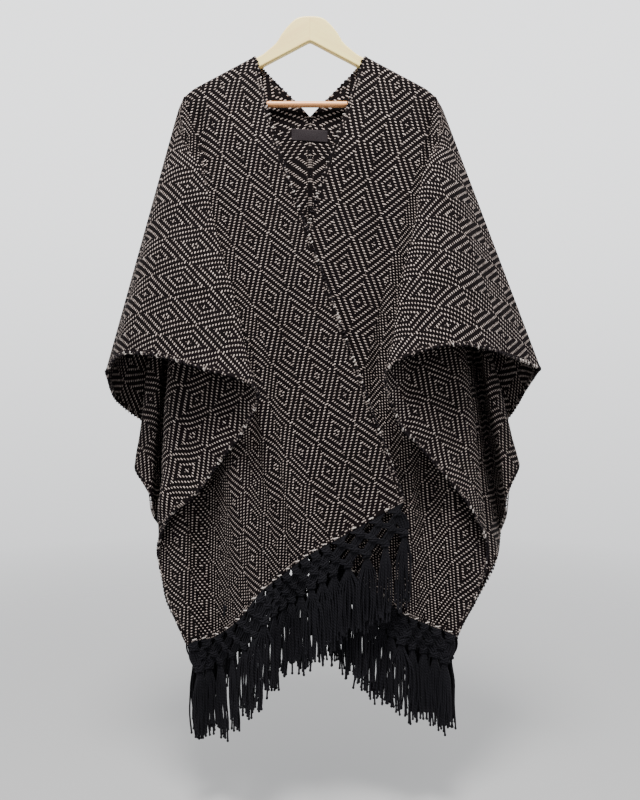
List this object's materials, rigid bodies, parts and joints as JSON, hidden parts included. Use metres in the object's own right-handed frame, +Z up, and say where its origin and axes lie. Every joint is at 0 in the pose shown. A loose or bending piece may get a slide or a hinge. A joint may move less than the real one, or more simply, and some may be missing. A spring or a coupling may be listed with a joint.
{
  "type": "woven poncho on a wooden hanger",
  "caption": "Open-front handwoven poncho with a dark diamond weave and knotted fringe, hung with crossed fronts on a flat wooden hanger with a trouser bar.",
  "frame": {"origin": "middle of the hanger's top edge, where a hand, rod or hook holds it", "axes": "+Z up, -Y out of the open front, +X to the viewer's right as seen from the front"},
  "size_m": [0.7879, 0.2233, 1.3103],
  "materials": {
    "weave": "matt handwoven wool, black warp with off-white weft in a diamond twill",
    "yarn": "matt twisted black yarn",
    "label": "smooth woven ribbon, bare",
    "wood": "pale clear-varnished wood",
    "bar_wood": "reddish turned wood"
  },
  "bodies": {
    "root": {"panel_left": "weave", "panel_right": "weave", "fringe_front_left": "yarn", "fringe_front_right": "yarn", "fringe_back_left": "yarn", "fringe_back_right": "yarn", "neck_label": "label", "hanger_body": "wood", "trouser_bar": "bar_wood"}
  },
  "joints": []
}
